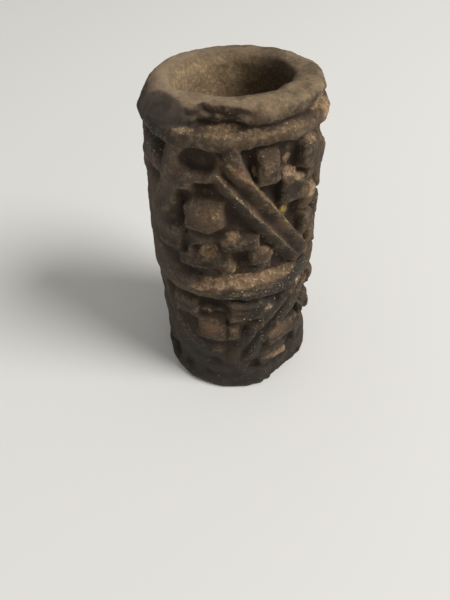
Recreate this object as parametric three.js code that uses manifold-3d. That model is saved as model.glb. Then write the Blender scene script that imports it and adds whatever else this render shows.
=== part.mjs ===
// A hollow clay cylinder seal, standing on its end: a thick tube with a lip, a collar, a middle ring, a foot
// and two carved registers, each with a zigzag of paired ribs and small blocks left standing between them.
// Millimetres, +Z up, the origin in the middle of the foot. The front faces -Y.
// The carving is drawn flat, as the seal would print it, and is then wrapped round the tube.
import * as THREE from "three";
import { mergeVertices } from "three/addons/utils/BufferGeometryUtils.js";
import Module from "manifold-3d";

const wasm = await Module();
wasm.setup();

// Driving dimensions
const HEIGHT = 80;
const CREST_RADIUS = 19.3; // the standing carving and the middle ring
const RELIEF = 2.6; // depth of the cut ground below the crests
const GROUND_RADIUS = CREST_RADIUS - RELIEF;
const BORE_RADIUS = 11.4;
const RIM_RADIUS = 17.8;
const COLLAR_RADIUS = 18.9;
const FOOT_RADIUS = 19.8;

// Levels of the rings at the front
const FOOT_TOP = 6;
const MIDDLE_RING = { low: 33.4, high: 40 };
const COLLAR = { low: 72.1, high: 75.8 };
const RIM_GROOVE = { level: 76, depth: 1.2 };

// Both registers repeat twice round the seal, the upper one from the tip of its peak
const REPEATS = [0, 180];
const PEAK = -19;

// How finely it is cut
const TURNS = 40; // sides of the tube
const RING_FACETS = 4; // facets across a ring
const RIM_FACETS = 5;
const RIB_STEPS = 6;
const SLACK = 0.05; // how far the joined surface may be evened out

// Habits of the knife
const SUNK = 0.8; // how far the carving's foot is buried in the ground
const FLARE = 0.45; // how much wider a cut wall stands at its foot
const WORN = 0.55; // rounding of the top edges
const STRAY = 0.1; // how far a corner strays, as a share of the block

// Flat drawing: u runs round the crests towards +X from the front, v runs up, w is the radius.
const radians = THREE.MathUtils.degToRad;
const flat = (degrees, v) => new THREE.Vector2(radians(degrees) * CREST_RADIUS, v);

// A repeatable unevenness between -1 and 1, so that no two cuts are alike.
function uneven(seed) {
  const s = Math.sin(seed * 78.233) * 43758.5453;
  return 2 * (s - Math.floor(s)) - 1;
}

// Move every vertex of a geometry; the function takes and returns x, y, z.
function reshape(geometry, move) {
  const p = geometry.getAttribute("position");
  for (let i = 0; i < p.count; i++) p.setXYZ(i, ...move(p.getX(i), p.getY(i), p.getZ(i)));
  return geometry;
}

function wrapped(u, v, w) {
  const angle = u / CREST_RADIUS;
  return [w * Math.sin(angle), -w * Math.cos(angle), v];
}

function solid(geometry) {
  const bare = new THREE.BufferGeometry();
  bare.setAttribute("position", geometry.getAttribute("position"));
  bare.setIndex(geometry.index);
  const merged = mergeVertices(bare, 1e-4);
  const vertProperties = new Float32Array(merged.getAttribute("position").array);
  const triVerts = new Uint32Array(merged.index.array);
  return new wasm.Manifold(new wasm.Mesh({ numProp: 3, vertProperties, triVerts }));
}

// Ring of the turned profile, standing on the cut ground: half round, with fuller shoulders.
function ring({ low, high }, crest) {
  const fullness = 0.6;
  return Array.from({ length: RING_FACETS + 1 }, (_, i) => {
    const turn = (Math.PI * i) / RING_FACETS;
    const level = (low + high) / 2 - ((high - low) / 2) * Math.cos(turn);
    const rise = Math.max(0, Math.sin(turn)) ** fullness;
    return new THREE.Vector2(GROUND_RADIUS + (crest - GROUND_RADIUS) * rise, level);
  });
}

// The rolled lip, from its outer foot over the crest into the mouth of the bore, where it is fuller.
function lip() {
  const half = (RIM_RADIUS - BORE_RADIUS) / 2;
  const drop = 2.6; // from the crest down to where the lip is widest
  return Array.from({ length: RIM_FACETS + 1 }, (_, i) => {
    const turn = (Math.PI * i) / RIM_FACETS;
    const fullness = turn > Math.PI / 2 ? 0.65 : 1;
    return new THREE.Vector2(
      BORE_RADIUS + half * (1 + Math.cos(turn)),
      HEIGHT - drop + drop * Math.max(0, Math.sin(turn)) ** fullness,
    );
  });
}

// The tube as it was rolled: foot, rings, collar, lip and bore, with the registers already cut back.
function turnedTube() {
  const arris = 0.7;
  const start = new THREE.Vector2(BORE_RADIUS, arris);
  const profile = [
    start,
    new THREE.Vector2(BORE_RADIUS + arris, 0),
    new THREE.Vector2(FOOT_RADIUS - arris, 0),
    new THREE.Vector2(FOOT_RADIUS, arris),
    new THREE.Vector2(FOOT_RADIUS, FOOT_TOP - 2),
    new THREE.Vector2(FOOT_RADIUS - 0.7, FOOT_TOP - 0.8),
    new THREE.Vector2(GROUND_RADIUS, FOOT_TOP),
    ...ring(MIDDLE_RING, CREST_RADIUS),
    ...ring(COLLAR, COLLAR_RADIUS),
    new THREE.Vector2(RIM_RADIUS - RIM_GROOVE.depth, RIM_GROOVE.level),
    ...lip(),
    start,
  ];
  return solid(new THREE.LatheGeometry(profile, TURNS).rotateX(Math.PI / 2));
}

// A rib with a rounded back, following a bowed line of the flat drawing.
function rib({ from, bow, to, width, crest = CREST_RADIUS }) {
  const path = new THREE.QuadraticBezierCurve(flat(...from), flat(...bow), flat(...to));
  const half = width / 2;
  const foot = GROUND_RADIUS - SUNK;
  const section = new THREE.Shape([
    new THREE.Vector2(-half - FLARE, foot),
    new THREE.Vector2(half + FLARE, foot),
    new THREE.Vector2(half, crest - WORN),
    new THREE.Vector2(half - WORN, crest),
    new THREE.Vector2(WORN - half, crest),
    new THREE.Vector2(-half, crest - WORN),
  ]);
  const geometry = new THREE.ExtrudeGeometry(section, { depth: 1, steps: RIB_STEPS, bevelEnabled: false });
  reshape(geometry, (across, radius, along) => {
    const at = path.getPoint(along);
    const way = path.getTangent(along);
    return wrapped(at.x - way.y * across, at.y + way.x * across, radius);
  });
  return solid(geometry);
}

// A block left standing between four knife cuts, none quite square.
function block({ at, level, wide, high, lean = 0, crest = CREST_RADIUS }) {
  const seed = at + 3 * level;
  const corners = [[-1, -1], [1, -1], [1, 1], [-1, 1]].map(([x, y], i) => new THREE.Vector2(
    ((x * wide) / 2) * (1 + STRAY * uneven(seed + i)),
    ((y * high) / 2) * (1 + STRAY * uneven(seed + i + 4)),
  ));
  const top = crest + 0.25 * uneven(seed);
  const courses = [
    { radius: GROUND_RADIUS - SUNK, spread: FLARE },
    { radius: top - WORN, spread: 0 },
    { radius: top, spread: -Math.min(WORN, wide / 4, high / 4) },
  ];
  const steps = courses.length - 1;
  const geometry = new THREE.ExtrudeGeometry(new THREE.Shape(corners), {
    depth: steps, steps, bevelEnabled: false,
  });
  const middle = flat(at, level);
  reshape(geometry, (x, y, z) => {
    const { radius, spread } = courses[Math.round(z)];
    const corner = new THREE.Vector2(x + spread * Math.sign(x), y + spread * Math.sign(y));
    corner.rotateAround(new THREE.Vector2(), radians(lean)).add(middle);
    return wrapped(corner.x, corner.y, radius);
  });
  return solid(geometry);
}

// A block scored across into thin courses.
function scoredBlock({ courses, ...whole }) {
  const score = 0.5;
  const high = (whole.high - score * (courses - 1)) / courses;
  const first = whole.level - (whole.high - high) / 2;
  const pieces = [block({ ...whole, crest: CREST_RADIUS - 1 })];
  for (let i = 0; i < courses; i++) {
    pieces.push(block({ ...whole, level: first + i * (high + score), high }));
  }
  return pieces;
}

// Upper register: a peak of paired ribs with a pit at its tip, and blocks in the fields.
function upperRegister(turn) {
  const peak = PEAK + turn;
  const ribs = [-1, 1].flatMap((side) => {
    const from = (offset, level) => [peak + side * offset, level];
    return [
      { from: from(1, 69.5), bow: from(35, 55), to: from(72, 41), width: 2.7 },
      { from: from(15.5, 72.5), bow: from(36, 56), to: from(83, 41.5), width: 3 },
    ];
  });
  ribs.push({
    from: [peak - 14, 67.8], bow: [peak, 65], to: [peak + 11, 67.4], width: 2, crest: CREST_RADIUS - 0.4,
  });
  const blocks = [
    // Under the peak, from the top row down
    { at: -1.5, level: 57.4, wide: 9.6, high: 8, lean: -3 },
    { at: -30, level: 50, wide: 7.2, high: 7.2, lean: 6 },
    { at: 23, level: 50.9, wide: 8.4, high: 3.4, lean: -2 },
    { at: -1, level: 46.4, wide: 7.2, high: 6.4, lean: 8 },
    { at: -16, level: 45.2, wide: 4.2, high: 4.2, lean: 4 },
    { at: 14, level: 44.4, wide: 3.4, high: 4, lean: 24 },
    { at: 37, level: 46.2, wide: 5.2, high: 4, lean: -4 },
    { at: -48, level: 45, wide: 6, high: 4.8, lean: 5 },
    // Between the peaks, under the collar
    { at: 40, level: 68, wide: 4.6, high: 6.2 },
    { at: 59, level: 62.2, wide: 6.6, high: 7, lean: -4 },
    { at: 74.5, level: 67, wide: 7, high: 8.6, lean: 2 },
    { at: 76, level: 58, wide: 5.2, high: 5.6, lean: -4 },
    { at: 90, level: 63, wide: 5, high: 6, lean: 4 },
    { at: 104, level: 67.6, wide: 6.4, high: 7.4 },
    { at: 105, level: 58.6, wide: 5.2, high: 5.4, lean: 5 },
    { at: 120, level: 62.6, wide: 6.4, high: 6.4, lean: 5 },
    { at: 118, level: 55, wide: 5, high: 5.4, lean: 5 },
    { at: 137, level: 68.4, wide: 6.6, high: 6, lean: 4 },
    { at: 78, level: 51, wide: 5, high: 5.4, lean: -4 },
    { at: 101, level: 51, wide: 5, high: 5.2, lean: 4 },
    { at: 90, level: 45.4, wide: 4.6, high: 5 },
  ];
  return ribs.map(rib).concat(blocks.map((b) => block({ ...b, at: b.at + peak })));
}

// Lower register: a valley of paired, bowed ribs above the foot, with scored blocks under the middle ring.
function lowerRegister(turn) {
  const valley = -1 + turn;
  const from = (offset, level) => [valley + offset, level];
  const ribs = [
    { from: from(-6, 10.5), bow: from(18, 29), to: from(64, 35), width: 2.7 },
    { from: from(3, 6), bow: from(27, 25.5), to: from(74, 31), width: 3.2 },
    { from: from(5, 10.5), bow: from(-35, 13.5), to: from(-70, 34), width: 2.7 },
    { from: from(-4, 6.5), bow: from(-42, 9), to: from(-82, 30), width: 3.2 },
  ];
  const scored = [
    { at: -39.5, level: 29.4, wide: 8.2, high: 5.6, lean: 1, courses: 2 },
    { at: 10, level: 29.8, wide: 8.4, high: 6, courses: 3 },
  ];
  const blocks = [
    // In the valley
    { at: -17.5, level: 22.8, wide: 7.4, high: 7.4, lean: -3 },
    { at: -2.5, level: 21.8, wide: 3.4, high: 5, lean: 4, crest: CREST_RADIUS - 0.5 },
    { at: 25, level: 30, wide: 3.6, high: 4.8, lean: -14 },
    { at: -15, level: 15.6, wide: 4, high: 2.4, lean: -5, crest: CREST_RADIUS - 0.7 },
    // Under the ribs, down to the foot
    { at: 0, level: 7.6, wide: 1.7, high: 5.6 },
    { at: 33, level: 9.4, wide: 9.2, high: 4.6, lean: 3 },
    { at: 43, level: 17.8, wide: 11, high: 6.2, lean: 4 },
    { at: -30, level: 7.4, wide: 3.2, high: 6, lean: -4 },
    { at: -50, level: 7.2, wide: 3.4, high: 6, lean: 5 },
    { at: 65, level: 11.4, wide: 7, high: 6.4, lean: 4 },
    { at: 72, level: 21, wide: 6.8, high: 5.4, lean: 3 },
    { at: 90, level: 16, wide: 6.4, high: 6, lean: -3 },
    { at: 90, level: 28, wide: 6, high: 7, lean: 4 },
    { at: 108, level: 11.4, wide: 6.6, high: 6, lean: -4 },
    { at: 105, level: 22, wide: 5.6, high: 5.6, lean: -6 },
  ];
  return ribs.map(rib)
    .concat(scored.flatMap((b) => scoredBlock({ ...b, at: b.at + valley })))
    .concat(blocks.map((b) => block({ ...b, at: b.at + valley })));
}

// The pit pressed into the tip of each peak, down to the cut ground.
function tipPit(turn) {
  const size = { across: 3.9, deep: 2.9, up: 2.7 };
  const place = { at: PEAK - 2.5 + turn, level: 69.9 };
  const cut = new THREE.SphereGeometry(1, 12, 8).scale(size.across, size.deep, size.up);
  cut.translate(0, -GROUND_RADIUS - size.deep, place.level).rotateZ(radians(place.at));
  return solid(cut);
}

// A bruise that flattens the foot, low on the right.
function bruise() {
  const cut = new THREE.BoxGeometry(15, 6, 10);
  cut.rotateX(radians(-34)).translate(0, -FOOT_RADIUS - 2.1, 0).rotateZ(radians(43));
  return solid(cut);
}

// A break at the lip's front, down to the groove under it, that runs out towards the right.
function chip() {
  const face = 15.7; // the broken face's distance from the axis
  const left = 2.8; // how far the break runs to the left of its middle
  const size = { wide: 15, deep: 6, high: 6 };
  const cut = new THREE.BoxGeometry(size.wide, size.deep, size.high);
  cut.translate(size.wide / 2 - left, -face - size.deep / 2, RIM_GROOVE.level + size.high / 2);
  return solid(cut.rotateZ(radians(-14)));
}

// Hand-rolled clay is never true. Each level sways in its own way round the seal: by the sine and cosine of
// the angle and by the cosine of twice the angle, the last two counted from the front.
const SWAY = [
  { level: 0, sine: 0, cosine: 0, twice: 0 },
  { level: FOOT_TOP, sine: 2.2, cosine: 0, twice: 0 },
  { level: MIDDLE_RING.low, sine: 0, cosine: 0, twice: 1 },
  { level: COLLAR.low, sine: 0.5, cosine: 0.3, twice: 0.4 },
  { level: HEIGHT, sine: 0.2, cosine: 1.2, twice: 0 },
];

function sway(angle, z) {
  const next = Math.max(SWAY.findIndex((s) => s.level >= z - 1e-6), 1);
  const share = (z - SWAY[next - 1].level) / (SWAY[next].level - SWAY[next - 1].level);
  const blend = (key) => THREE.MathUtils.lerp(SWAY[next - 1][key], SWAY[next][key], share);
  return blend("sine") * Math.sin(angle)
    + blend("cosine") * (Math.cos(angle) - 1)
    + blend("twice") * (Math.cos(2 * angle) - 1);
}

// Left of the front the lip was pressed down into the collar, and the groove between them is closed.
function pressed(angle, z, radius) {
  const lump = { middle: radians(-68), half: radians(46), level: 75.4, reach: 2.6 };
  const round = Math.max(0, 1 - ((angle - lump.middle) / lump.half) ** 2);
  const up = Math.max(0, 1 - ((z - lump.level) / lump.reach) ** 2);
  const outer = radius > GROUND_RADIUS - SUNK;
  return outer ? Math.sqrt(round) * up * Math.max(0, COLLAR_RADIUS - radius) : 0;
}

function handRolled(x, y, z) {
  const angle = Math.atan2(x, -y);
  const radius = Math.hypot(x, y);
  const oval = 1 + 0.006 * Math.cos(2 * angle - 0.6) + 0.004 * Math.sin(3 * angle + z / 17);
  const out = (radius + pressed(angle, z, radius)) * oval;
  const bow = -0.5 * Math.sin((Math.PI * z) / HEIGHT);
  return [out * Math.sin(angle) + bow, -out * Math.cos(angle), z + sway(angle, z)];
}

function carvedSeal() {
  const standing = REPEATS.flatMap((turn) => [...upperRegister(turn), ...lowerRegister(turn)]);
  const whole = standing.reduce((sum, piece) => sum.add(piece), turnedTube());
  const cuts = [bruise(), chip(), ...REPEATS.map(tipPit)];
  const mesh = cuts.reduce((rest, cut) => rest.subtract(cut), whole).simplify(SLACK).getMesh();
  const geometry = new THREE.BufferGeometry();
  geometry.setAttribute("position", new THREE.BufferAttribute(mesh.vertProperties, mesh.numProp));
  geometry.setIndex(new THREE.BufferAttribute(mesh.triVerts, 1));
  reshape(geometry, handRolled);
  geometry.computeBoundingBox();
  const { min, max } = geometry.boundingBox;
  geometry.translate(-(min.x + max.x) / 2, -(min.y + max.y) / 2, -min.z);
  geometry.computeVertexNormals();
  return geometry;
}

const firedClay = new THREE.MeshStandardMaterial({ color: 0x4a3d30, roughness: 0.9, metalness: 0 });

const seal = new THREE.Group();
const body = new THREE.Mesh(carvedSeal(), firedClay);
body.name = "seal_body";
seal.add(body);

export default seal;
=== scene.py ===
"""A hollow clay roller seal, standing on its foot: the worn, pitted, dusty skin of the fired clay."""

import math

import bmesh
import bpy
import numpy as np
from mathutils import Matrix, Vector, noise


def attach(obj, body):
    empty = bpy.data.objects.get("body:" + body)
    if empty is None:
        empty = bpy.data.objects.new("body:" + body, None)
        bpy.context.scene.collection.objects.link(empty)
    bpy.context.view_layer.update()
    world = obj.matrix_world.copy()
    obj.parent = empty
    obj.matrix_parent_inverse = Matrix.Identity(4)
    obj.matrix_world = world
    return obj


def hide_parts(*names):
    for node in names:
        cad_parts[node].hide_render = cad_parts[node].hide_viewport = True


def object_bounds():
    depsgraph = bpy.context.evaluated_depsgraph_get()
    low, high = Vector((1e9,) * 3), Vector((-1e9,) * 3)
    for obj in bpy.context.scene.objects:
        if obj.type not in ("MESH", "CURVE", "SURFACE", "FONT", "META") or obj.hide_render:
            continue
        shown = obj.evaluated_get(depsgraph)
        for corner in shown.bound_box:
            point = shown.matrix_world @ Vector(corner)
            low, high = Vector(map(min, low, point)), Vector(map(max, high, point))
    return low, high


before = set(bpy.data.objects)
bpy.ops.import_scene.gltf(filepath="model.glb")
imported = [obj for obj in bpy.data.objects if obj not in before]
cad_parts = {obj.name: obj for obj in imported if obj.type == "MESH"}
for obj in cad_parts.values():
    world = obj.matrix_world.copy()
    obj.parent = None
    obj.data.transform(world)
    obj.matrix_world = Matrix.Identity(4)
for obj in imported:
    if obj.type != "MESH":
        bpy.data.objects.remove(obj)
cad_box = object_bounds()

# Lengths are in millimetres, and angles in degrees from the front (-Y), counted to the right (+X)
MM = 0.001

# The seal's main levels and radii, as the clay was rolled and carved
CREST_RADIUS = 19.3
GROUND_RADIUS = 16.7
BORE_RADIUS = 11.4
FOOT_TOP = 6.0
COLLAR_TOP = 75.8

# The sculpting grid, and the number of triangles that the finished skin keeps
GRID = 0.29
SKIN_TRIANGLES = 192000

# Wear: rounds of smoothing all over and in rubbed places, and the levels over which rubbing begins
WEAR_ROUNDS = 2
RUBBED_ROUNDS = 40
RUBBED_FOOT = (0.5, 3.0)

# Rubbed places: (angle, level, wide, high, share)
RUBBED = (
    # The left side, and the lower register's left
    (-100, 40, 58, 76, 0.95),
    (-100, 64, 58, 24, 0.9),
    (-34, 12, 40, 30, 0.9),
    # The large block under the peak and its neighbours at the left
    (-19, 57.6, 15, 12, 0.6),
    (-20, 48, 16, 10, 0.4),
    (-52, 51, 14, 16, 0.8),
    # The chip in the lip
    (-2, 78.8, 22, 5, 0.3),
)

# Rounds of smoothing that show what stands out as an arris, and what lies near or wide in a hollow
ARRIS_ROUNDS = 14
NEAR_ROUNDS = 10
WIDE_ROUNDS = 60

# The share of its radius over which each kind of patch is soft
FILL_SOFT = 0.4
WORN_SOFT = 0.6
RUBBED_SOFT = 0.5
STAIN_SOFT = 0.75

# How far the hand-cut outlines stray, as (size, distance), and the seed of their straying
STRAY = (4.5, 0.5)
STRAY_SEED = 4

# Levels over which the straying begins above the foot and lessens at the lip, and the share lost there
STRAY_FOOT = (0.2, 3.0)
STRAY_LIP = (72.0, 76.0)
STRAY_LIP_LOSS = 0.65

# The clay's unevenness as (size, height), its pores as (spacing, depth) and its nicks as (size, depth)
LUMPS = (7.5, 0.26)
KNOBS = (2.4, 0.12)
GRAIN = (0.8, 0.07)
PORES = (1.7, 0.3)
NICKS = (2.6, 0.45)

# A pore's radius as a share of the spacing, and the cell value over which a cell has one
PORE_RADIUS = 0.34
PORE_CELLS = 0.35

# The two bars' ridges: (angle and level of the start, angle and level of the end, face's width, height)
BARS = (
    (-4.0, 72.5, 60.0, 43.5, 3.6, 1.6),
    (-9.5, 67.6, 52.0, 41.3, 3.1, 2.4),
)

# Sloped ledges: (first and last angle, fade, level at angle 0, rise per degree, slope's height, radius)
LEDGES = (
    # The middle ring, then five blocks above it
    (-34, 56, 10, 37.3, 0.026, 2.3, 19.2),
    (-8, 16, 2, 51.8, -0.02, 1.3, 19.0),
    (-32, -8, 3, 48.5, 0.1, 3.0, 18.9),
    (12, 29, 3, 46.8, -0.02, 2.0, 18.7),
    (12, 29, 2, 70.5, -0.03, 2.6, 18.9),
    (29, 50, 2, 68.0, -0.11, 2.4, 18.9),
)

# How crisply a bar's and a ledge's face begins and ends, and how softly a bar runs out at its ends
BAR_CRISP = (-0.2, 0.1)
LEDGE_CRISP = (-0.3, 0.1)
BAR_END = 1.5

# Clay left standing and clay pressed in: (angle, level, wide, high, lean, radius it reaches)
FILLS = (
    # Round the pit at the peak's tip
    (-23, 68.8, 14, 9, 0, 18.7),
    (-37, 68.5, 10, 9, 0, 18.6),
    # The gap in the zigzag's left arm
    (-41, 64, 11, 11, -40, 18.6),
    (-52, 57, 11, 11, -40, 18.4),
)
PRESSED = (
    # The pit at the peak's tip
    (-22.3, 69.8, 9.6, 6.4, 6, 16.9),
    # Corners of the large block under the peak
    (-34, 61, 4.6, 4, 50, 17.2),
    (-8, 53.4, 6, 3, 14, 17.2),
    # The groove under the lip's chip, and the chip's left end
    (-8, 76.3, 12, 1.7, 0, 15.2),
    (-25, 78.6, 6, 3.2, 25, 16.6),
    # The ground right of the right blocks
    (78, 70, 8, 7, 0, 17.4),
    (92, 67, 9, 9, 0, 17.8),
)

# Hollows and swellings of the outside: (angle, level, wide, high, lean, how far out)
MARKS = (
    # The lip's droop right of the chip, and its swelling at the right
    (18, 77, 10, 3, -8, 0.5),
    (70, 79, 18, 5, 0, 1.1),
    # The chip's ragged ends, and lumps of clay left in it
    (-21, 79, 5, 3, 30, -0.7),
    (11, 78.2, 9, 2.4, -14, -0.6),
    (-10, 77.6, 4, 2.4, 0, 0.6),
    (-14, 78.6, 3.4, 1.6, 15, 0.5),
    (-2, 77.9, 4.4, 1.4, -10, 0.7),
    (7, 77.4, 4, 1.4, -16, 0.5),
    (-7, 79.2, 3, 1.4, 0, -0.6),
    (2, 78.8, 3.6, 1.4, -8, -0.5),
    # The lip's fuller back, and its lean left side above the lump
    (150, 79, 30, 6, 0, 0.7),
    (-140, 79, 30, 6, 0, 0.8),
    (-82, 78, 14, 4, 0, -0.9),
    (105, 79, 20, 6, 0, 0.4),
    # The lump at the left, the collar's right end, and hollows and swellings of both sides
    (-52, 75.8, 20, 4, 0, 0.5),
    (-74, 73.6, 14, 6, 0, 0.7),
    (-76, 70.4, 16, 7, 0, -1.0),
    (-80, 57, 14, 9, 0, -0.6),
    (76, 72.6, 12, 3.4, 0, 0.5),
    (70, 70.5, 12, 4, 0, -1.3),
    (72, 59.5, 10, 5, 0, -1.4),
    (63, 60.5, 6, 4, 0, -0.9),
    (75, 57.6, 8, 4, 0, -1.0),
    (-84, 48, 22, 28, 0, 0.5),
    (-84, 37, 20, 18, 0, 1.0),
    # Deep pits between the blocks of the upper register
    (-38, 55.5, 5, 6, 20, -0.8),
    (3, 46.2, 4.6, 5, 0, -0.9),
    (25, 62.5, 6, 6, 10, -0.6),
    (43, 55.5, 6, 8, -15, -0.7),
    (-20, 64, 9, 3.4, 0, -1.0),
    (11, 68.5, 4, 8, 20, -0.5),
    # A lump on the middle ring, and a dent in it
    (18, 41.6, 6, 4.5, 0, 0.9),
    (-8, 35.4, 9, 4, 0, -0.35),
    # Swellings at the right, from the ring down
    (84, 38, 12, 10, 0, 0.4),
    (84, 27.5, 12, 9, 0, 1.5),
    (78, 24.6, 8, 3.4, 0, 0.7),
    (84, 16.8, 10, 5, 0, 1.4),
    (80, 14.6, 9, 5, 0, 1.3),
    # The foot, fuller at its left front
    (-42, 2, 30, 10, 0, 0.7),
    # Pits of the lower register
    (7, 22.5, 4, 6, 10, -1.0),
    (20, 16.5, 4, 8, -10, -1.2),
    (43, 12, 5, 5, 0, -1.0),
    (8, 10, 5, 5, 0, -1.0),
    (-16, 11, 6, 5, 0, -0.9),
    (-16, 31, 8, 4, 0, -0.6),
)

# Cuts drawn with a point: (angle and level of both ends, width, depth)
GROOVES = (
    # The crease between lump and collar
    (-56, 75.4, -22, 76.4, 1.6, 0.5),
    # A deep line in the chip
    (-19, 78.3, 1, 77.8, 1.5, 0.9),
    # Round the rounded block at the left
    (-36, 60, -35.5, 51.5, 1.5, 0.7),
    (-35.5, 51.5, -44, 48.2, 1.5, 0.6),
    (-44, 48.2, -56, 48.6, 1.3, 0.4),
    # Round the block in the valley
    (-30, 18.6, -7, 18.2, 1.4, 0.8),
    (-7, 18.6, -6.6, 27, 1.4, 0.7),
    (-30, 27.6, -9, 28.6, 1.4, 0.5),
)

# Worn stretches, where the carving is low: (angle, level, wide, high, share of the depth that is filled)
WORN = (
    (-86, 50, 36, 44, 0.9),
    (-70, 36, 30, 14, 0.7),
    (-70, 18, 34, 34, 0.85),
    (-30, 10, 26, 18, 0.7),
    (0, 17, 52, 34, 0.5),
    (-22, 50, 26, 16, 0.4),
    (84, 42, 14, 24, 0.5),
)

# The lip's flat facet: the angle it faces, its upper edge's distance and level, and how steeply it falls
FACET_TURN = -50.0
FACET_OUT = 15.4
FACET_TOP = 79.5
FACET_FALL = 0.97

# How far round the facet is cut, and over what height above the collar it begins
FACET_SWEEP = 60.0
FACET_START = 0.6

# The facet's oval: (middle across, middle outwards, half width, half height), and its fading edges
FACET_OVAL = (0.8, 17.4, 7.8, 2.1)
FACET_EDGE = (1.15, 0.8)
FACET_LEVELS = (74.6, 75.4)

# The mouth, fuller at the front and right and flared at the left: (angle, spread, radii it fades between)
MOUTH_FRONT = (20.0, (100.0, 30.0), (14.6, 12.4))
MOUTH_LEFT = (-100.0, (75.0, 25.0), (15.4, 11.8))
MOUTH_FULL = 0.9
MOUTH_FLARE = 0.7
MOUTH_LEVELS = (75.0, 78.5)

# Stains of the outside: (angle, level, wide, high, lean, strength)
DUST = (
    # The ledge under the chip, and the collar
    (-8, 75.6, 16, 3, 2, 0.56),
    (12, 75.2, 18, 3, 0, 0.5),
    (34, 75.2, 14, 3, 0, 0.52),
    (62, 76.6, 10, 4.2, 0, 1.0),
    (73, 73.8, 12, 6.4, 0, 0.8),
    (-30, 75.2, 8, 2, 3, 0.65),
    # Tops and faces of the upper blocks
    (-19, 48.2, 9, 5, 18, 0.68),
    (-1, 52.7, 7, 3.4, -2, 0.58),
    (-12.6, 58.6, 5.4, 8, 0, 0.52),
    (-19, 58, 9, 9, 0, 0.45),
    (20, 47.7, 6.4, 2.6, 0, 0.56),
    (38, 65.4, 8, 3, -14, 0.75),
    (44, 63.9, 7, 2.6, -14, 0.66),
    (37, 68, 4.6, 5, 0, 0.62),
    (12.6, 67.3, 1.8, 5, 0, 0.62),
    (20, 69, 7, 7, 0, 0.42),
    (57, 58.6, 6, 6, 0, 0.75),
    (54, 70.8, 9, 2.6, 0, 0.62),
    (-4, 45, 4, 3, 0, 0.35),
    # The middle ring's ledge
    (-25, 37.2, 9, 2.6, 8, 0.9),
    (-14, 38.6, 12, 4, 0, 1.0),
    (4, 39.4, 16, 5, 0, 1.0),
    (22, 39.5, 16, 4, 0, 0.68),
    (38, 39.4, 12, 3.6, 0, 0.56),
    (6, 36.6, 16, 3, 0, 0.5),
    (-4, 35, 6, 2, 0, 0.5),
    # Lower blocks
    (-24, 28, 7, 3, 0, 0.55),
    (24, 30.4, 5, 5, 0, 0.55),
    (-3, 23.5, 4, 5, 0, 0.48),
    (38, 9.8, 18, 5.4, -8, 0.6),
    (54, 33, 6, 8, 0, 0.5),
)
HIGHLIGHT_LINES = (
    # Painted highlights on the two bars' ridges, then on the pit's edge, laid on as dusty lines: (angle
    # and level of both ends, width, strength)
    (-10, 67.7, 22, 54.2, 1.1, 0.58),
    (22, 54.2, 54, 40.6, 0.9, 0.5),
    (-3, 69.8, 7, 66.6, 2.4, 0.85),
    (8, 66.8, 30, 57, 1.5, 0.6),
    (-33, 69.4, -22, 67, 1.2, 0.4),
)
CRUST = (
    # The collar's left and the ground under it, the lip's lower front and its back
    (-54, 70, 12, 6, 0, 1.0),
    (-55, 73.6, 24, 5, 0, 0.7),
    (30, 77.4, 28, 2.6, 0, 0.3),
    (58, 78, 16, 3.6, 0, 0.3),
    (175, 79.5, 44, 7, 0, 0.5),
    # The lower bar
    (2, 60.5, 9, 5, -52, 0.9),
    (14, 55, 9, 5, -52, 1.0),
    (26, 50, 9, 5, -52, 1.0),
    (38, 44.5, 9, 5, -52, 1.0),
    # Upper blocks
    (12, 45.2, 5, 3, 0, 0.8),
    (-10, 46.4, 6, 3, 0, 0.6),
    (60, 66, 8, 9, 0, 0.5),
    # The ring's front
    (10, 35.2, 24, 8, 0, 1.0),
    (34, 35.2, 20, 8, 0, 1.0),
    (52, 36, 16, 9, 0, 1.0),
    # The lower register and the foot
    (16, 29, 12, 12, 0, 1.0),
    (28, 31, 14, 8, 0, 1.0),
    (14, 19, 12, 18, -30, 1.0),
    (44, 26, 14, 10, 10, 1.0),
    (-44, 12, 24, 14, 0, 0.8),
    (4, 5, 50, 12, 0, 1.0),
    (50, 5, 30, 10, 0, 1.0),
)
PINK = (
    (2.4, 68.2, 3, 5, 38, 1.0),
    (32, 20, 7, 5, 0, 0.45),
    (-17, 24, 8, 5, 0, 0.4),
    (20, 39.6, 10, 3, 0, 0.5),
    (-8, 39.4, 12, 3, 0, 0.4),
)
OCHRE = (
    (38, 55.4, 5, 4.6, 0, 1.0),
    (58, 46, 3, 5, 52, 0.9),
    (-1, 44, 2, 3, 0, 0.35),
    (66, 76.4, 6, 3.4, 0, 0.8),
    (74, 74.4, 8, 4, 0, 0.4),
)
BARE = (
    (-19.5, 23.4, 7.6, 9, 0, 0.9),
    (36, 19.6, 12, 7, -8, 0.55),
    (37, 10, 16, 5, -8, 0.7),
    (-20, 57.6, 9, 8, 0, 0.4),
)
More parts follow.
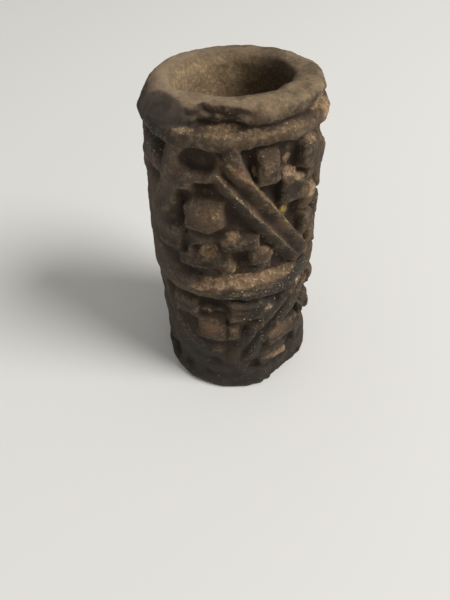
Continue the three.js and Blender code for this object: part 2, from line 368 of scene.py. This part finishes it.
# Dark stains and painted shade: shaded faces, fronts of blocks and recesses are painted dark
DARK_STAINS_AND_SHADE = (
    # Painted shadow inside the chip, and dark on the collar and on the lip's right
    (-5, 77.8, 16, 4, 0, 1.0),
    (-60, 74, 22, 5, 0, 0.9),
    (0, 72.8, 44, 3.4, 0, 0.35),
    (95, 79, 30, 8, 0, 0.35),
    # Painted shade on the fronts of the middle blocks
    (5, 50.6, 13, 4.4, 0, 1.0),
    (-18, 44.4, 10, 3.6, 12, 1.0),
    (20, 45.2, 7, 4, 0, 1.0),
    # Painted shade on the ground round the middle blocks
    (-36, 58, 5, 9, 0, 0.9),
    (-20, 52.2, 14, 2.6, 4, 0.9),
    (-8.5, 49.4, 3.4, 5, 0, 0.9),
    (12, 45.6, 6, 3.4, 0, 0.8),
    (20, 43.2, 26, 3.6, -2, 0.95),
    (44, 43, 12, 4, 0, 0.9),
    (-36, 46.6, 6, 8, 0, 0.8),
    (1, 57.4, 5, 6, 0, 0.9),
    # The upper bar's top, and both bars' shaded faces
    (-4, 72.4, 8, 4, 0, 0.8),
    (10, 62.6, 9, 3.6, -52, 0.9),
    (16, 61.6, 8, 3.6, -45, 0.7),
    (24, 56.4, 9, 3.6, -52, 0.9),
    (38, 50, 9, 3.6, -52, 0.9),
    (48, 44.6, 14, 7, -40, 0.9),
    # The right blocks and the ground between them
    (25, 62.4, 7, 6, 10, 0.4),
    (45, 53.6, 6, 6, -15, 0.6),
    (11, 68.6, 4, 8, 20, 0.4),
    (20, 69, 8, 8, 0, 0.5),
    (27, 67.5, 6, 6, 0, 0.6),
    (47, 69.3, 10, 8, 0, 1.0),
    (37, 61.4, 11, 8, 0, 1.0),
    (66, 64, 8, 14, 0, 0.8),
    # The upper register's left
    (-44, 55, 14, 10, 0, 0.8),
    (-50, 45, 22, 12, 0, 0.85),
    (-36, 42, 20, 5, 8, 0.9),
    # The ring's front
    (10, 35, 20, 4, 0, 0.7),
    (34, 35.6, 22, 6, 0, 1.0),
    (52, 37, 16, 7, 0, 1.0),
    # Painted shade on the ground round the block in the valley
    (-35, 23, 5, 9, 0, 0.8),
    (-19, 30.2, 16, 3, 0, 0.9),
    (-18, 16.8, 16, 2.6, 0, 0.8),
    (-3, 23, 6, 9, 0, 0.8),
    # The rest of the lower register, and the foot
    (46, 31, 16, 8, 0, 1.0),
    (8, 29.5, 14, 9, 0, 0.9),
    (28, 31, 14, 8, 0, 0.8),
    (12, 18, 12, 16, -35, 0.9),
    (40, 23, 14, 9, 12, 1.0),
    (62, 20, 16, 26, 0, 1.0),
    (26, 24, 14, 12, -40, 1.0),
    (-50, 22, 20, 14, 0, 0.7),
    (-30, 8, 30, 12, 0, 0.7),
    (10, 4, 40, 10, 0, 1.0),
    (50, 5, 30, 10, 0, 1.0),
)

# The lower part is painted darker towards the bottom, as dark patina and painted shade: its top, the
# height it fades over, and how dark it is
LOWER_DARK_TOP = 36.0
LOWER_DARK_FADE = 14.0
LOWER_DARK_STRENGTH = 0.72

# The left side painted lighter, as light on the bore's left wall, and the left side painted a cool grey,
# as the outside's shade, and how far round they fade to nothing and are full
LIGHTER_SIDE = -110.0
LIGHTER_SPREAD = (125.0, 45.0)
COOL_SHADE_SIDE = -95.0
COOL_SHADE_SPREAD = (95.0, 45.0)

# The floor, the soft lamp and the sky, in metres, degrees and watts
FLOOR_HALF = 1.5
LAMP_AIM = Vector((0.0, 0.0, 0.04))
LAMP_REACH = 1.6
LAMP_RISE = 45.0
LAMP_TURN = 21.0
LAMP_SIZE = 0.75
LAMP_POWER = 21.0
SKY = (1.0, 0.99, 0.97, 1.0)
SKY_STRENGTH = 0.34

# The camera: its place and nearest sight in metres, its lens on a 36 mm sensor, its pitch, yaw and roll
CAMERA_PLACE = Vector((0.0, -0.09998, 0.12188))
NEAREST = 0.005
LENS = 31.2
PITCH = 47.066
YAW = -1.74
ROLL = -1.93


# Arrays of the mesh

def read(items, name, width, kind=np.float32):
    """One value, or a row of values, for each of a mesh's items."""
    flat = np.empty(len(items) * width, kind)
    items.foreach_get(name, flat)
    return flat.reshape(-1, width)


def points_of(mesh):
    """The mesh's points in millimetres."""
    return read(mesh.vertices, "co", 3).astype(float) / MM


def put_points(mesh, points):
    """Moves the mesh's points, given in millimetres."""
    mesh.vertices.foreach_set("co", (points * MM).astype(np.float32).ravel())
    mesh.update()


def normals_of(mesh):
    """The way each point faces."""
    return read(mesh.vertex_normals, "vector", 3).astype(float)


def neighbour_mean(values, pairs):
    """Each point's mean over the points that an edge joins it to."""
    count = np.bincount(pairs.ravel(), minlength=len(values))
    total = np.zeros_like(values)
    for column in range(values.shape[1]):
        total[:, column] = np.bincount(pairs[:, 0], values[pairs[:, 1], column], len(values))
        total[:, column] += np.bincount(pairs[:, 1], values[pairs[:, 0], column], len(values))
    return total / count[:, None]


def smoothed(values, pairs, rounds):
    """The values after some rounds of moving half way to the neighbours' mean."""
    for _ in range(rounds):
        values = 0.5 * values + 0.5 * neighbour_mean(values, pairs)
    return values


def ramp(low, high, values):
    """0 below low, 1 above high, and a smooth rise between."""
    t = np.clip((values - low) / (high - low), 0.0, 1.0)
    return t * t * (3.0 - 2.0 * t)


def clay_noise(points, size, octaves=3, shift=0.0):
    """Noise from about -1 to 1, with features of one size, that stays fixed in the clay."""
    spots = (points / size + shift).tolist()
    return np.array([noise.fractal(spot, 1.0, 2.0, octaves) for spot in spots])


class Place:
    """Where points lie: angle from the front, level above the foot and distance from the axis."""

    def __init__(self, points):
        self.angle = np.degrees(np.arctan2(points[:, 0], -points[:, 1]))
        self.level = points[:, 2]
        self.reach = np.hypot(points[:, 0], points[:, 1])
        self.outward = points * (1.0, 1.0, 0.0) / self.reach[:, None]
        self.outside = ramp(BORE_RADIUS + 2.0, BORE_RADIUS + 3.5, self.reach)

    def turned(self, at):
        """How far round the seal points lie from an angle, positive to the right."""
        return (self.angle - at + 180.0) % 360.0 - 180.0

    def unrolled(self, at, level):
        """Distance along the surface from a point of the outside: across to the right, and up."""
        return CREST_RADIUS * np.radians(self.turned(at)), self.level - level

    def patch(self, at, level, wide, high, lean=0.0, soft=1.0):
        """An oval patch of the outside: 1 within, 0 at its edge, and soft over a share of its radius."""
        across, up = self.unrolled(at, level)
        turn = math.radians(lean)
        along = across * math.cos(turn) + up * math.sin(turn)
        over = up * math.cos(turn) - across * math.sin(turn)
        gap = np.hypot(2.0 * along / wide, 2.0 * over / high)
        return ramp(1.0, 1.0 - soft, gap) * self.outside

    def stroke(self, start, end, width):
        """A mark drawn between two (angle, level) points of the outside: 1 on its line, 0 at its edges."""
        across, up = self.unrolled(*start)
        run = CREST_RADIUS * math.radians(end[0] - start[0])
        rise = end[1] - start[1]
        along = np.clip((across * run + up * rise) / (run * run + rise * rise), 0.0, 1.0)
        gap = np.hypot(across - along * run, up - along * rise)
        return ramp(1.0, 0.0, 2.0 * gap / width) * self.outside


# The clay's shape

def finished(piece):
    """Applies the piece's modifiers to its mesh."""
    graph = bpy.context.evaluated_depsgraph_get()
    mesh = bpy.data.meshes.new_from_object(piece.evaluated_get(graph))
    piece.modifiers.clear()
    piece.data = mesh


def gridded(piece):
    """Makes the piece's mesh an even grid again."""
    grid = piece.modifiers.new("grid", "REMESH")
    grid.mode = "VOXEL"
    grid.voxel_size = GRID * MM
    finished(piece)


def rolled_tube():
    """The carved solid as a fine, even grid of points that can be worn and marked."""
    shape = bmesh.new()
    shape.from_mesh(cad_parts["seal_body"].data)
    bmesh.ops.remove_doubles(shape, verts=shape.verts, dist=0.001 * MM)
    mesh = bpy.data.meshes.new("carved_clay")
    shape.to_mesh(mesh)
    shape.free()
    piece = bpy.data.objects.new("carved_clay", mesh)
    bpy.context.scene.collection.objects.link(piece)
    gridded(piece)
    return piece


def bar_face(place, start_angle, start_level, end_angle, end_level, width, height):
    """How far to move points so that one bar's face slopes up to its ridge."""
    across, up = place.unrolled(start_angle, start_level)
    run = CREST_RADIUS * math.radians(end_angle - start_angle)
    rise = end_level - start_level
    length = math.hypot(run, rise)
    along = (across * run + up * rise) / length
    below = (across * rise - up * run) / length
    face = CREST_RADIUS - height * below / width
    low, high = BAR_CRISP
    strip = ramp(low, high, below) * ramp(width + high, width + low, below)
    strip *= ramp(0.0, BAR_END, along) * ramp(length, length - BAR_END, along) * place.outside
    return strip * (face - place.reach)


def ledge_face(place, start, end, fade, level, rise, height, radius):
    """How far to move points so that a ledge's top slopes from the ground to its front edge."""
    up = place.level - level - rise * place.angle
    face = radius - (radius - GROUND_RADIUS) * up / height
    cover = ramp(start, start + fade, place.angle) * ramp(end, end - fade, place.angle) * place.outside
    low, high = LEDGE_CRISP
    cover *= ramp(low, high, up) * ramp(height - low, height, up)
    return cover * (face - place.reach)


def facet_face(place):
    """How far to move points so that the lip's left front is cut flat."""
    turn = np.radians(np.clip(place.angle - FACET_TURN, -FACET_SWEEP, FACET_SWEEP))
    flat = (FACET_OUT + (FACET_TOP - place.level) / FACET_FALL) / np.cos(turn)
    cover = ramp(COLLAR_TOP, COLLAR_TOP + FACET_START, place.level) * place.outside
    return cover * np.minimum(flat - place.reach, 0.0)


def facet(place):
    """Where the lip's flat facet lies."""
    turn = np.radians(place.angle - FACET_TURN)
    across, out, half_width, half_height = FACET_OVAL
    aside = (place.reach * np.sin(turn) - across) / half_width
    beyond = (place.reach * np.cos(turn) - out) / half_height
    return ramp(*FACET_EDGE, np.hypot(aside, beyond)) * ramp(*FACET_LEVELS, place.level)


def mouth_side(place, at, spread, radii):
    """Where one side of the bore's mouth lies."""
    return ramp(*spread, np.abs(place.angle - at)) * ramp(*radii, place.reach)


def mouth(place):
    """How far to move points of the bore's mouth: in at the front and right, out at the left."""
    full = MOUTH_FULL * mouth_side(place, *MOUTH_FRONT)
    flare = MOUTH_FLARE * mouth_side(place, *MOUTH_LEFT)
    return ramp(*MOUTH_LEVELS, place.level) * (flare - full)


def marked(points):
    """The soft marks of making and use: straying, fills, worn stretches, pits and the lip's facet."""
    size, distance = STRAY
    noise.seed_set(STRAY_SEED)
    stray = distance * np.array([noise.noise_vector(spot) for spot in (points / size).tolist()])
    freedom = ramp(*STRAY_FOOT, points[:, 2]) - STRAY_LIP_LOSS * ramp(*STRAY_LIP, points[:, 2])
    points = points + stray * freedom[:, None]
    place = Place(points)
    out = np.zeros(len(points))
    for at, level, wide, high, lean, radius in FILLS:
        cover = place.patch(at, level, wide, high, lean, FILL_SOFT)
        out += cover * np.maximum(radius - place.reach - out, 0.0)
    for at, level, wide, high, share in WORN:
        depth = np.maximum(CREST_RADIUS - place.reach - out, 0.0)
        out += share * place.patch(at, level, wide, high, 0.0, WORN_SOFT) * depth
    for at, level, wide, high, lean, radius in PRESSED:
        cover = place.patch(at, level, wide, high, lean, FILL_SOFT)
        out += cover * np.minimum(radius - place.reach - out, 0.0)
    for at, level, wide, high, lean, height in MARKS:
        out += height * place.patch(at, level, wide, high, lean)
    out += facet_face(place) + mouth(place)
    return points + place.outward * out[:, None]


def cut(points):
    """The crisp cuts: the ledges' tops, the bars' faces and the grooves."""
    place = Place(points)
    out = np.zeros(len(points))
    for ledge in LEDGES:
        out += ledge_face(place, *ledge)
    for bar in BARS:
        out += bar_face(place, *bar) * (out == 0.0)
    for start_angle, start_level, end_angle, end_level, width, depth in GROOVES:
        out -= depth * place.stroke((start_angle, start_level), (end_angle, end_level), width)
    return points + place.outward * out[:, None]


def pores(points):
    """Small holes left by burnt-out straw and fallen grit, in one cell of three."""
    spacing, depth = PORES
    height = np.zeros(len(points))
    for index, spot in enumerate((points / spacing).tolist()):
        gaps, middles = noise.voronoi(spot)
        if noise.cell(middles[0]) > PORE_CELLS:
            height[index] = max(0.0, 1.0 - gaps[0] / PORE_RADIUS)
    return -depth * height * height


def wear(piece):
    """Marks the clay, rounds and nicks its arrises and gives it its uneven, grainy surface."""
    pairs = read(piece.data.edges, "vertices", 2, np.int32)
    put_points(piece.data, cut(smoothed(marked(points_of(piece.data)), pairs, WEAR_ROUNDS)))
    gridded(piece)
    mesh = piece.data
    pairs = read(mesh.edges, "vertices", 2, np.int32)
    points = smoothed(points_of(mesh), pairs, WEAR_ROUNDS)
    place = Place(points)
    rubbed = np.zeros(len(points))
    for at, level, wide, high, share in RUBBED:
        rubbed = np.maximum(rubbed, share * place.patch(at, level, wide, high, 0.0, RUBBED_SOFT))
    rubbed *= ramp(*RUBBED_FOOT, place.level)
    points += rubbed[:, None] * (smoothed(points, pairs, RUBBED_ROUNDS) - points)
    put_points(mesh, points)
    normals = normals_of(mesh)
    standing = ((points - smoothed(points, pairs, ARRIS_ROUNDS)) * normals).sum(1)
    nick_size, nick_depth = NICKS
    nicked = ramp(0.0, 0.45, clay_noise(points, nick_size, 3, 5.0))
    height = -nick_depth * ramp(0.02, 0.2, standing) * nicked
    for size, tall in (LUMPS, KNOBS, GRAIN):
        height += tall * clay_noise(points, size, 2)
    height += pores(points)
    keep_inside(mesh, points + normals * height[:, None])


def keep_inside(mesh, points):
    """Moves the mesh's points, and keeps them within the carved solid's box."""
    low, high = (np.array(corner) / MM for corner in cad_box)
    put_points(mesh, np.clip(points, low, high))


def thin_out(piece):
    """Leaves fewer points where the surface is plain."""
    thinning = piece.modifiers.new("thinning", "DECIMATE")
    triangles = 2 * len(piece.data.polygons)
    thinning.ratio = min(1.0, SKIN_TRIANGLES / triangles)
    finished(piece)
    keep_inside(piece.data, points_of(piece.data))
    piece.data.shade_smooth()


def stained(place, stains):
    """How strongly a kind of stain lies on each point."""
    amount = np.zeros(len(place.reach))
    for at, level, wide, high, lean, strength in stains:
        patch = place.patch(at, level, wide, high, lean, STAIN_SOFT)
        amount = np.maximum(amount, strength * patch)
    return amount


def note_surface(piece):
    """Writes down, for the colours, how each point lies, what stains are on it and where shade and
    highlights are painted.
    """
    mesh = piece.data
    points = points_of(mesh)
    pairs = read(mesh.edges, "vertices", 2, np.int32)
    normals = normals_of(mesh)
    place = Place(points)
    near = ((smoothed(points, pairs, NEAR_ROUNDS) - points) * normals).sum(1)
    wide = ((smoothed(points, pairs, WIDE_ROUNDS) - points) * normals).sum(1)
    depth = ramp(CREST_RADIUS - 0.5, GROUND_RADIUS + 0.2, place.reach) * place.outside
    notes = {
        # Dirt and painted shade in the hollows, darker where a point lies deep or in wide hollows
        "hollow_dirt_and_shade": np.clip(ramp(0.0, 0.45, wide) * 0.6 + depth * 0.5, 0.0, 1.0),
        # Arrises, which the colours paint lighter as worn edges and as highlights
        "arris": ramp(0.0, -0.16, near),
        # Where the surface faces up, for the rim's tan: dust, and painted light from above
        "upward": ramp(0.25, 0.85, normals[:, 2]),
        "inside": ramp(BORE_RADIUS + 1.6, BORE_RADIUS + 0.2, place.reach),
        # The left side painted lighter: the bore's lit left wall and the rim's left
        "lighter_left": ramp(*LIGHTER_SPREAD, np.abs(place.turned(LIGHTER_SIDE))),
        "rim": ramp(COLLAR_TOP + 0.5, COLLAR_TOP + 2.5, place.level),
        "foot": ramp(FOOT_TOP + 16.0, FOOT_TOP, place.level),
        "facet": facet(place),
        # The left of the outside, painted a cool grey as the light in its shade
        "cool_shade_left": ramp(*COOL_SHADE_SPREAD, np.abs(place.turned(COOL_SHADE_SIDE))) * place.outside,
    }
    kinds = {"dust_and_highlight": DUST, "crust": CRUST, "pink": PINK, "ochre": OCHRE, "dark_stain_and_shade": DARK_STAINS_AND_SHADE, "bare": BARE}
    for name, stains in kinds.items():
        notes[name] = stained(place, stains)
    # Painted highlights along the ridges and the pit's edge, joined to the dusty stains
    for start_angle, start_level, end_angle, end_level, width, strength in HIGHLIGHT_LINES:
        line = strength * place.stroke((start_angle, start_level), (end_angle, end_level), width)
        notes["dust_and_highlight"] = np.maximum(notes["dust_and_highlight"], line)
    # Darker towards the bottom: dark patina and painted shade, joined to the dark stains
    lower_dark = LOWER_DARK_STRENGTH * ramp(LOWER_DARK_TOP, LOWER_DARK_TOP - LOWER_DARK_FADE, place.level)
    notes["dark_stain_and_shade"] = np.maximum(notes["dark_stain_and_shade"], lower_dark)
    for name, values in notes.items():
        mesh.attributes.new(name, "FLOAT", "POINT").data.foreach_set("value", values.astype(np.float32))


# The clay's colours

class Shader:
    """Short ways to add and join nodes of one material."""

    def __init__(self, name):
        self.material = bpy.data.materials.new(name)
        self.material.use_nodes = True
        self.nodes = self.material.node_tree.nodes
        self.links = self.material.node_tree.links
        self.surface = self.nodes["Principled BSDF"]
        self.coordinates = self.nodes.new("ShaderNodeTexCoord").outputs["Object"]

    def set(self, socket, value):
        """Gives a socket another socket's output, or a fixed value."""
        if isinstance(value, bpy.types.NodeSocket):
            self.links.new(value, socket)
        else:
            socket.default_value = value

    def note(self, name):
        """A value that was written down for each point."""
        node = self.nodes.new("ShaderNodeAttribute")
        node.attribute_name = name
        return node.outputs["Fac"]

    def noise(self, size, detail=4.0, rough=0.6, shift=0.0):
        """Noise with features of a size in millimetres."""
        node = self.nodes.new("ShaderNodeTexNoise")
        node.noise_dimensions = "4D"
        self.set(node.inputs["Vector"], self.coordinates)
        node.inputs["W"].default_value = shift
        node.inputs["Scale"].default_value = 1.0 / (size * MM)
        node.inputs["Detail"].default_value = detail
        node.inputs["Roughness"].default_value = rough
        return node.outputs["Fac"]

    def range(self, value, low, high, bottom=0.0, top=1.0):
        """Maps a value from low..high to bottom..top and keeps it between them."""
        node = self.nodes.new("ShaderNodeMapRange")
        node.interpolation_type = "SMOOTHSTEP"
        self.set(node.inputs["Value"], value)
        node.inputs["From Min"].default_value = low
        node.inputs["From Max"].default_value = high
        node.inputs["To Min"].default_value = bottom
        node.inputs["To Max"].default_value = top
        return node.outputs["Result"]

    def math(self, kind, first, second):
        """Arithmetic on two values, kept between 0 and 1."""
        node = self.nodes.new("ShaderNodeMath")
        node.operation = kind
        node.use_clamp = True
        self.set(node.inputs[0], first)
        self.set(node.inputs[1], second)
        return node.outputs["Value"]

    def over(self, amount, below, above):
        """One colour laid over another."""
        node = self.nodes.new("ShaderNodeMix")
        node.data_type = "RGBA"
        self.set(node.inputs["Factor"], amount)
        self.set(node.inputs["A"], below)
        self.set(node.inputs["B"], above)
        return node.outputs["Result"]

    def veil(self, below, amount, share, above):
        """A colour laid over another by a share of an amount."""
        return self.over(self.math("MULTIPLY", amount, share), below, above)


def colour(red, green, blue):
    """A surface colour given in the usual 0 to 255 steps."""
    steps = (red / 255.0, green / 255.0, blue / 255.0)
    return tuple(((s + 0.055) / 1.055) ** 2.4 if s > 0.04 else s / 12.92 for s in steps) + (1.0,)


def fired_body(clay, grain):
    """Blotched brown clay with a fine grain, painted a cool grey at its shaded left, and lighter where it
    is bare.
    """
    blotch = clay.range(clay.noise(6.0), 0.38, 0.62)
    body = clay.over(blotch, colour(66, 53, 42), colour(89, 72, 55))
    # The shaded left painted a cool grey
    body = clay.veil(body, clay.note("cool_shade_left"), 0.75, colour(79, 71, 65))
    body = clay.veil(body, clay.note("bare"), 0.8, colour(108, 86, 68))
    return clay.veil(body, grain, 0.45, colour(112, 95, 74))


def crust_cover(clay):
    """How thickly the crust lies: with ragged edges, thick on the foot and thin on bare clay."""
    ragged = clay.math("SUBTRACT", clay.noise(2.4, 6.0, 0.7, 7.0), 0.25)
    crust = clay.math("ADD", clay.note("crust"), clay.math("MULTIPLY", clay.note("foot"), 0.8))
    crust = clay.math("SUBTRACT", crust, clay.math("MULTIPLY", clay.note("bare"), 0.8))
    return clay.range(clay.math("ADD", clay.math("MULTIPLY", crust, 0.75), ragged), 0.4, 0.7)


def soiled(clay, body, crust):
    """The body under dark grey-green crust and dark stains, with painted shade on shaded faces and the
    lower part, dirt and painted shade in the cuts, and arrises painted lighter as wear and highlights.
    """
    body = clay.veil(body, crust, 0.9, colour(56, 50, 40))
    # Dark stains and painted shade, less where the clay is bare
    dark_stain_and_shade = clay.math("SUBTRACT", clay.note("dark_stain_and_shade"), clay.math("MULTIPLY", clay.note("bare"), 0.6))
    body = clay.veil(body, dark_stain_and_shade, 0.75, colour(42, 36, 31))
    # Dirt and painted shade darken the hollows
    body = clay.veil(body, clay.note("hollow_dirt_and_shade"), 0.75, colour(43, 34, 28))
    # Arrises painted lighter: worn edges, and painted highlights along them
    rubbed = clay.range(clay.noise(1.0, 5.0, 0.7, 11.0), 0.44, 0.6)
    rubbed = clay.math("MULTIPLY", clay.note("arris"), rubbed)
    rubbed = clay.math("MULTIPLY", rubbed, clay.range(crust, 0.0, 1.0, 0.5, 0.15))
    return clay.over(rubbed, body, colour(128, 111, 90))


def lip_and_bore(clay, body, grain, crust):
    """The body with its tan rim, painted lighter where it faces up and at the left, the facet's grey, and
    the bore painted lit at its left wall and shaded at its right.
    """
    smudge = clay.range(clay.noise(4.0, 5.0, 0.6, 19.0), 0.36, 0.6)
    tan = clay.over(smudge, colour(98, 83, 64), colour(142, 120, 93))
    # The rim painted lighter at the left
    tan = clay.veil(tan, clay.note("lighter_left"), 0.7, colour(160, 138, 112))
    tan = clay.veil(tan, grain, 0.35, colour(176, 156, 128))
    stipple = clay.range(clay.noise(0.7, 3.0, 0.7, 41.0), 0.56, 0.64)
    tan = clay.veil(tan, stipple, 0.45, colour(84, 72, 57))
    # The rim painted tan where it faces up: dust, and painted light from above
    rim = clay.math("MULTIPLY", clay.note("rim"), clay.note("upward"))
    body = clay.veil(body, rim, clay.range(crust, 0.0, 1.0, 0.9, 0.4), tan)
    pressed = clay.over(smudge, colour(64, 55, 50), colour(84, 74, 66))
    body = clay.veil(body, clay.note("facet"), 0.9, pressed)
    # The bore painted lit at its left wall and painted shaded at its right
    lit_wall = clay.over(grain, colour(140, 118, 90), colour(180, 156, 120))
    shaded = clay.over(grain, colour(78, 66, 53), colour(104, 88, 70))
    return clay.veil(body, clay.note("inside"), 0.9, clay.over(clay.note("lighter_left"), shaded, lit_wall))


def dusted(clay, body, crust):
    """The body under pink and ochre earth and a patchy, dusty layer with painted highlights on the ridges,
    with dark specks and pale grit.
    """
    patchy = clay.range(clay.noise(0.7, 5.0, 0.7, 13.0), 0.42, 0.58)
    body = clay.veil(body, clay.note("pink"), patchy, colour(164, 122, 98))
    body = clay.veil(body, clay.note("ochre"), patchy, colour(186, 160, 88))
    sifted = clay.math("SUBTRACT", clay.noise(0.9, 6.0, 0.85, 17.0), 0.35)
    # The dusty layer, with the painted highlights on the ridges
    film_and_highlight = clay.math("ADD", clay.math("MULTIPLY", clay.note("dust_and_highlight"), 0.8), sifted)
    film_and_highlight = clay.range(film_and_highlight, 0.42, 0.72)
    mottle = clay.range(clay.noise(1.4, 5.0, 0.7, 31.0), 0.4, 0.6)
    body = clay.veil(body, film_and_highlight, 0.85, clay.over(mottle, colour(118, 95, 71), colour(165, 136, 104)))
    speck = clay.math("MULTIPLY", film_and_highlight, clay.range(clay.noise(0.42, 2.0, 0.6, 37.0), 0.6, 0.66))
    body = clay.veil(body, speck, 0.7, colour(70, 56, 42))
    grit = clay.math("ADD", clay.noise(0.42, 2.0, 0.6, 29.0), clay.math("MULTIPLY", film_and_highlight, 0.12))
    above_foot = clay.math("SUBTRACT", crust, clay.note("foot"))
    grit = clay.math("ADD", grit, clay.math("MULTIPLY", above_foot, 0.065))
    return clay.veil(body, clay.range(grit, 0.7, 0.75), 0.8, colour(188, 172, 143))


def fired_clay():
    """Brown fired clay: crusted, dark-stained, rubbed and dusty, with painted shade and highlights, and
    matt but for its crust and facet.
    """
    clay = Shader("fired_clay")
    grain = clay.range(clay.noise(0.8, 6.0, 0.75, 3.0), 0.44, 0.66)
    crust = crust_cover(clay)
    body = soiled(clay, fired_body(clay, grain), crust)
    body = dusted(clay, lip_and_bore(clay, body, grain, crust), crust)
    clay.set(clay.surface.inputs["Base Color"], body)
    smooth = clay.math("MAXIMUM", crust, clay.note("facet"))
    clay.set(clay.surface.inputs["Roughness"], clay.range(smooth, 0.0, 1.0, 0.9, 0.68))
    clay.surface.inputs["Specular IOR Level"].default_value = 0.22
    bump = clay.nodes.new("ShaderNodeBump")
    bump.inputs["Strength"].default_value = 0.6
    bump.inputs["Distance"].default_value = 0.25 * MM
    clay.set(bump.inputs["Height"], clay.noise(0.55, 5.0, 0.7, 23.0))
    clay.set(clay.surface.inputs["Normal"], bump.outputs["Normal"])
    return clay.material


def seal():
    """The whole seal: one piece of clay that stands for the carved solid."""
    piece = rolled_tube()
    wear(piece)
    thin_out(piece)
    note_surface(piece)
    piece.data.materials.clear()
    piece.data.materials.append(fired_clay())
    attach(piece, "root")
    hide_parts("seal_body")


# Floor, light and camera

def floor():
    """A plain pale floor."""
    shape = bmesh.new()
    bmesh.ops.create_grid(shape, x_segments=1, y_segments=1, size=FLOOR_HALF)
    mesh = bpy.data.meshes.new("floor")
    shape.to_mesh(mesh)
    shape.free()
    piece = bpy.data.objects.new("floor", mesh)
    bpy.context.scene.collection.objects.link(piece)
    paper = Shader("pale_paper")
    paper.surface.inputs["Base Color"].default_value = colour(240, 238, 233)
    paper.surface.inputs["Roughness"].default_value = 0.9
    mesh.materials.append(paper.material)


def light():
    """One soft lamp from the right, a little in front, and an even pale sky."""
    lamp = bpy.data.lights.new("soft_lamp", "AREA")
    lamp.shape = "DISK"
    lamp.size = LAMP_SIZE
    lamp.energy = LAMP_POWER
    rise = math.radians(LAMP_RISE)
    turn = math.radians(LAMP_TURN)
    way = Vector((math.cos(rise) * math.cos(turn), -math.cos(rise) * math.sin(turn), math.sin(rise)))
    piece = bpy.data.objects.new("soft_lamp", lamp)
    piece.location = LAMP_AIM + LAMP_REACH * way
    piece.rotation_euler = way.to_track_quat("Z", "Y").to_euler()
    bpy.context.scene.collection.objects.link(piece)
    world = bpy.data.worlds.new("sky")
    world.use_nodes = True
    sky = world.node_tree.nodes["Background"]
    sky.inputs["Color"].default_value = SKY
    sky.inputs["Strength"].default_value = SKY_STRENGTH
    bpy.context.scene.world = world


def camera():
    """The camera, looking down at the seal from the front."""
    pitch, yaw, roll = (math.radians(angle) for angle in (PITCH, YAW, ROLL))
    ahead = Vector((math.sin(yaw) * math.cos(pitch), math.cos(yaw) * math.cos(pitch), -math.sin(pitch)))
    right = ahead.cross(Vector((0.0, 0.0, 1.0))).normalized()
    top = right.cross(ahead)
    turned = math.cos(roll) * right + math.sin(roll) * top
    raised = math.cos(roll) * top - math.sin(roll) * right
    lens = bpy.data.cameras.new("camera")
    lens.lens = LENS
    lens.clip_start = NEAREST
    piece = bpy.data.objects.new("camera", lens)
    aim = Matrix((turned, raised, -ahead)).transposed().to_4x4()
    piece.matrix_world = Matrix.Translation(CAMERA_PLACE) @ aim
    bpy.context.scene.collection.objects.link(piece)
    bpy.context.scene.camera = piece
    bpy.context.scene.view_settings.view_transform = "Standard"


seal()
floor()
light()
camera()
